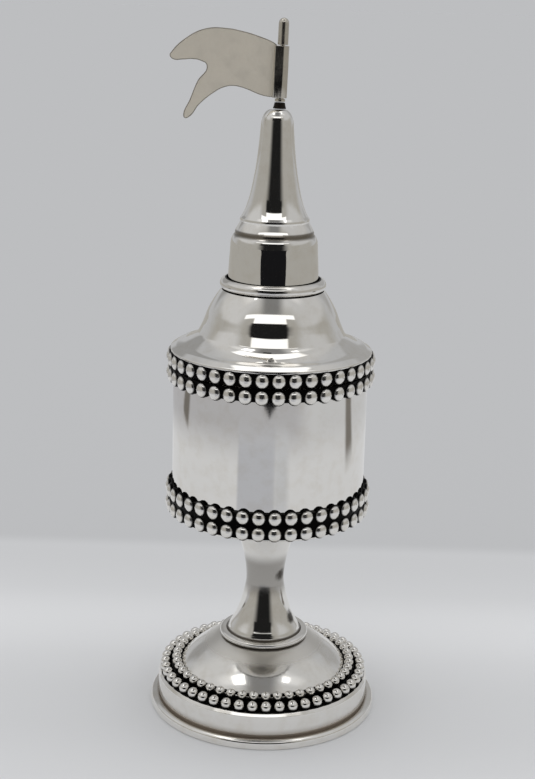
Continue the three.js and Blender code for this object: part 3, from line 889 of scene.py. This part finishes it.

# %% [markdown]
# Each piece gets its finish, the body it rides on and the CAD node that it stands for, and
# the table also lists its slot in the record. One table keeps the four together.

# %% Finishing every piece
finishes = [
    (foot_flange, "foot_flange", "box", flange_silver, "polished_silver"),
    (foot_wall, "foot_wall", "box", groove_silver, "polished_silver"),
    (foot_dome, "foot_dome", "box", dome_silver, "polished_silver"),
    (outer_beads, "foot_bead_ring_outer", "box", outer_silver, "oxidised_beads"),
    (inner_beads, "foot_bead_ring_inner", "box", inner_silver, "oxidised_beads"),
    (stem_ring, "stem_ring", "box", stem_ring_silver, "polished_silver"),
    (stem_bell, "stem_bell", "box", stem_silver, "polished_silver"),
    (stem_upper, "stem_upper", "box", stem_silver, "polished_silver"),
    (box_floor, "box_floor", "box", floor_silver, "polished_silver"),
    (box_wall, "box_wall", "box", inside_silver, "polished_silver"),
    (base_beads, "base_bead_strip", "box", strip_silver, "oxidised_beads"),
    (mouth_beads, "mouth_bead_strip", "box", strip_silver, "oxidised_beads"),
    (lid_collar, "lid_collar", "lid", inside_silver, "polished_silver"),
    (lid_beads, "lid_bead_strip", "lid", strip_silver, "oxidised_beads"),
    (lid_bezel, "lid_bezel", "lid", polished, "polished_silver"),
    (lid_roof, "lid_roof", "lid", polished, "polished_silver"),
    (turret_drum, "turret_drum", "lid", drum_silver, "polished_silver"),
    (turret_ring, "turret_ring", "lid", ring_silver, "polished_silver"),
    (spire_cone, "spire_cone", "lid", polished, "polished_silver"),
    (pole_collar, "pole_collar", "lid", collar_silver, "polished_silver"),
    (flagpole, "flagpole", "lid", worn, "polished_silver"),
    (pole_cap, "pole_cap", "lid", worn, "polished_silver"),
    (flag, "flag", "flag", satin, "satin_silver"),
]
for piece, node, body, material, slot in finishes:
    piece.data.materials.clear()
    piece.data.materials.append(material)
    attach(piece, body)
    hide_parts(node)
for material in (worn, filed):
    flag.data.materials.append(material)
for face in flag.data.polygons:
    if face.index < loop_faces:
        face.material_index = 1
    elif abs(face.normal.y) < 0.95:
        face.material_index = 2
print("finished", len(finishes), "pieces")

# %% [markdown]
# ## The studio
# The tower stands on a plain pale floor that runs back past the horizon. Floor and tent are
# both painted with soft-edged patches: each has a colour and the limits between which it
# shows. Two functions do that for both.

# %% A soft-edged patch of colour
def between(tree, value, unit, low, high, soft):
    """1 where the value, counted in the unit, is from low to high, with soft edges, else 0."""
    rise = add_node(tree, "ShaderNodeMapRange", {
        "Value": value, "From Min": (low - soft) * unit, "From Max": (low + soft) * unit},
        interpolation_type="SMOOTHSTEP")
    fall = add_node(tree, "ShaderNodeMapRange", {
        "Value": value, "From Min": (high - soft) * unit, "From Max": (high + soft) * unit,
        "To Min": 1.0, "To Max": 0.0}, interpolation_type="SMOOTHSTEP")
    return add_node(tree, "ShaderNodeMath", {
        0: rise.outputs[0], 1: fall.outputs[0]}, operation="MULTIPLY").outputs[0]


def painted(tree, under, colour, *limits):
    """The colour under, covered with another one where a few measures are between limits."""
    mask = 1.0
    for limit in limits:
        mask = add_node(tree, "ShaderNodeMath", {
            0: mask, 1: between(tree, *limit)}, operation="MULTIPLY").outputs[0]
    return add_node(tree, "ShaderNodeMix", {
        0: mask, 6: under, 7: colour}, data_type="RGBA", clamp_result=False).outputs[2]


DEGREE = math.radians(1)
BACKGROUND = "#BDBEC0"
TENT = "#AFADA8"
print("background in linear light:", [round(c, 3) for c in linear(BACKGROUND)[:3]])

# %% [markdown]
# The floor has two looks. The camera sees pale paper, laid over a slightly greyer ground.

# %% The floor
FLOOR_SIZE = 60       # in metres
FAR = 90000           # in mm, past the edge of the floor
bpy.ops.object.select_all(action="DESELECT")
bpy.ops.mesh.primitive_plane_add(size=FLOOR_SIZE)
floor = bpy.context.object
floor.name = "studio_floor"
paper = bpy.data.materials.new("pale_paper")
paper.use_nodes = True
tree = paper.node_tree
shader = tree.nodes["Principled BSDF"]
shader.inputs["Roughness"].default_value = 1
shader.inputs["Specular IOR Level"].default_value = 0
place = add_node(tree, "ShaderNodeTexCoord", {}).outputs["Object"]
axes = add_node(tree, "ShaderNodeSeparateXYZ", {0: place})
span = add_node(tree, "ShaderNodeVectorMath", {0: place}, operation="LENGTH").outputs["Value"]
across, along = axes.outputs[0], axes.outputs[1]
shade = linear(BACKGROUND)
for hex_colour, *limits in [
    ("#C8C9CB", (along, MM, -FAR, 101, 5)),           # the paper starts behind the tower
    ("#D3D4D6", (along, MM, -FAR, 66, 28)),
    ("#D8D9DB", (along, MM, 28, 54, 12)),             # a painted highlight band across it
    # a slightly darker band through the tower's place: painted shade
    ("#CDCED0", (along, MM, -30, 14, 16)),
    (BACKGROUND, (span, MM, 600, FAR, 250)),
]:
    shade = painted(tree, shade, linear(hex_colour), *limits)
floor.data.materials.append(paper)
print("the floor is", floor.dimensions.x, "m wide")

# %% [markdown]
# Silver mirrors more of the floor than the picture shows, and there the photograph's wall
# tells what lay round the tower: paler paper close by, a cool shade in front and two seams
# of the tent at the sides. The patches are placed by their distance from the tower and by
# the turn away from the viewer.

# %% The floor as the silver mirrors it
ahead = add_node(tree, "ShaderNodeMath", {0: along, 1: -1.0}, operation="MULTIPLY").outputs[0]
turn = add_node(tree, "ShaderNodeMath", {0: across, 1: ahead}, operation="ARCTAN2").outputs[0]
mirrored = linear("#D9DADC")
floor_patches = [
    # away from the lamps, left and right, and the cloth of the tent beyond
    ("#B7B7BA", (span, MM, 248, FAR, 30), (turn, DEGREE, -200, 45, 20)),
    ("#CBCCCE", (span, MM, 248, FAR, 30), (turn, DEGREE, 45, 200, 20)),
    (TENT, (span, MM, 450, FAR, 80)),
    # the cool shade in front, and its softer side
    ("#BBBDC3", (span, MM, 120, 265, 25), (turn, DEGREE, -34, 8, 2)),
    ("#C8CACE", (span, MM, 120, 265, 25), (turn, DEGREE, 7, 22, 4)),
    # the seams, left and right
    ("#77736E", (across, MM, -400, -242, 8), (along, MM, 75, 132, 12)),
    ("#7E7A75", (across, MM, 215, 400, 20), (along, MM, 35, 86, 12)),
]
for hex_colour, *limits in floor_patches:
    mirrored = painted(tree, mirrored, linear(hex_colour), *limits)
sight = add_node(tree, "ShaderNodeLightPath", {}).outputs["Is Camera Ray"]
paint = add_node(tree, "ShaderNodeMix", {0: sight, 6: mirrored, 7: shade}, data_type="RGBA")
tree.links.new(paint.outputs[2], shader.inputs["Base Color"])
print("patches painted on the floor:", len(floor_patches))

# %% [markdown]
# The silver shows the room more than itself. In the photograph it mirrors a light tent: pale
# cloth all round, a dark opening in front, where the camera stands, and soft lamps above
# that opening. The opening runs down to the floor in a narrow V. That foot of it lies on the
# floor, where only reflections see it, and the rest is painted into the world.

# %% The foot of the dark opening
opening_edge = [     # in metres, from the tip of the V
    (0, -0.288), (0.06, -0.31), (0.25, -0.45), (19, -29),
    (-20, -29), (-0.26, -0.45), (-0.06, -0.31),
]
bpy.ops.object.select_all(action="DESELECT")
bpy.ops.mesh.primitive_circle_add(vertices=len(opening_edge), radius=1, fill_type="NGON")
opening = bpy.context.object
opening.name = "tent_opening_foot"
for vertex, place in zip(opening.data.vertices, opening_edge):
    vertex.co = (*place, 0.4 * MM)
opening.visible_camera = False
opening.visible_diffuse = False
opening.visible_shadow = False
dark_cloth = bpy.data.materials.new("dark_cloth")
dark_cloth.use_nodes = True
shader = dark_cloth.node_tree.nodes["Principled BSDF"]
shader.inputs["Base Color"].default_value = linear("#18181A")
shader.inputs["Specular IOR Level"].default_value = 0
opening.data.materials.append(dark_cloth)
print("the opening's foot has", len(opening.data.vertices), "corners")

# %% [markdown]
# Two angles place most things in the tent: the climb runs from the front horizon up over
# the top, and the sidestep is how far to the left or right. The sides of the tent need the
# height above the horizon and the turn from the front instead. The bow lies halfway between
# height and climb, and draws the slightly bent upper edge of the opening.

# %% The angles of the world
world = bpy.data.worlds.new("light_tent")
bpy.context.scene.world = world
world.use_nodes = True
tree = world.node_tree
tree.nodes.clear()
toward = add_node(tree, "ShaderNodeTexCoord", {}).outputs["Generated"]
axes = add_node(tree, "ShaderNodeSeparateXYZ", {0: toward})
ahead = add_node(tree, "ShaderNodeMath", {0: axes.outputs[1], 1: -1.0}, operation="MULTIPLY")
climb = add_node(tree, "ShaderNodeMath", {
    0: axes.outputs[2], 1: ahead.outputs[0]}, operation="ARCTAN2").outputs[0]
sidestep = add_node(
    tree, "ShaderNodeMath", {0: axes.outputs[0]}, operation="ARCSINE").outputs[0]
height = add_node(
    tree, "ShaderNodeMath", {0: axes.outputs[2]}, operation="ARCSINE").outputs[0]
turn = add_node(tree, "ShaderNodeMath", {
    0: axes.outputs[0], 1: ahead.outputs[0]}, operation="ARCTAN2").outputs[0]
bow = add_node(tree, "ShaderNodeMath", {0: height, 1: climb}, operation="ADD")
bow = add_node(
    tree, "ShaderNodeMath", {0: bow.outputs[0], 1: 0.5}, operation="MULTIPLY").outputs[0]
print("nodes that find a direction:", len(tree.nodes))

# %% [markdown]
# The tent is painted part by part, from its cloth to its lamps. Each part is a grey between
# limits of two of the angles, in degrees.

# %% The parts of the tent
# brightness, the angle that goes up, low, high, softness, the one that goes round, left,
# right, softness
tent_parts = [
    (0.62, climb, 55, 122, 12, sidestep, -64, 64, 14),      # the roof, lit from outside
    (0.23, climb, 44, 108, 5, sidestep, -16, 14, 8),        # its grey middle
    (0.64, height, 20, 70, 5, turn, -125, -60, 12),         # the lit sides
    (0.58, height, 20, 70, 5, turn, 52, 125, 12),
    (0.34, climb, 145, 168, 3, sidestep, -42, 0, 5),        # the back, low down
    (0.41, climb, 145, 172, 3, sidestep, 0, 42, 5),
    (0.84, climb, 71, 90, 5, sidestep, -40, -18, 9),        # left overhead lamp
    (0.8, climb, 74, 90, 5, sidestep, 19, 39, 9),           # right overhead lamp
    (2.6, climb, 71, 86, 1, sidestep, -27, -16, 1),         # two bulbs shining through
    (2.4, climb, 76.5, 85, 1, sidestep, 18.5, 25, 1),
    (0.01, climb, 83, 90, 1, sidestep, -6.5, 0, 1),         # the camera's support
    (1.4, climb, 91, 108, 1, sidestep, -24, 21, 2),         # lamp behind the top
    (0.013, height, -60, 27, 3, turn, -37, 31, 13),         # the opening in front
    (0.013, bow, 22, 36.5, 0.7, turn, -39, 29, 4),          # its upper edge
    (1.4, bow, 36.5, 43.5, 0.6, turn, -36, 29, 2),          # lamp bar, lower half
    (1.4, bow, 42.5, 47, 0.6, turn, -56, 47, 2),            # lamp bar, upper half
]
tent = painted(tree, linear(BACKGROUND), linear(TENT), (turn, DEGREE, -118, 118, 14))
for brightness, up_angle, low, high, soft, side_angle, left, right, side_soft in tent_parts:
    tent = painted(
        tree, tent, (brightness, brightness, brightness, 1),
        (up_angle, DEGREE, low, high, soft), (side_angle, DEGREE, left, right, side_soft))
print("parts painted into the tent:", len(tent_parts))

# %% [markdown]
# Last, the world is told apart by the kind of ray. The camera sees the plain background,
# diffuse light comes evenly from all round at a strength of 1, and glossy rays see the tent.

# %% The light
rays = add_node(tree, "ShaderNodeLightPath", {})
diffuse_or_tent = add_node(tree, "ShaderNodeMix", {
    0: rays.outputs["Is Glossy Ray"], 6: (1, 1, 1, 1), 7: tent}, data_type="RGBA")
plain = add_node(tree, "ShaderNodeMath", {
    0: rays.outputs["Is Camera Ray"], 1: rays.outputs["Is Transmission Ray"]}, operation="MAXIMUM")
seen = add_node(tree, "ShaderNodeMix", {
    0: plain.outputs[0], 6: diffuse_or_tent.outputs[2], 7: linear(BACKGROUND)}, data_type="RGBA")
light = add_node(tree, "ShaderNodeBackground", {"Color": seen.outputs[2], "Strength": 1.0})
add_node(tree, "ShaderNodeOutputWorld", {"Surface": light.outputs[0]})
print("nodes in the world:", len(tree.nodes))

# %% [markdown]
# The camera was fitted to the ellipses of the bead rows: it stands about 32 cm in front and
# looks down by 15 degrees, and the picture is turned by 1.5 degrees, as it was held by hand.
# The image is 535 by 779 pixels.

# %% The camera
CAMERA_PLACE = (-0.00061, -0.3224, 0.1639)
LOOKS_DOWN = math.radians(15.03)
HELD_ASKEW = math.radians(1.54)
bpy.ops.object.camera_add(location=CAMERA_PLACE)
camera = bpy.context.object
pitch = Matrix.Rotation(math.radians(90) - LOOKS_DOWN, 3, "X")
roll = Matrix.Rotation(HELD_ASKEW, 3, "Z")
camera.rotation_euler = (pitch @ roll).to_euler()
camera.data.lens = 67.0
camera.data.clip_start = 0.01
bpy.context.scene.camera = camera
bpy.context.scene.view_settings.view_transform = "Standard"
print("the camera looks from", [round(value, 3) for value in camera.location])
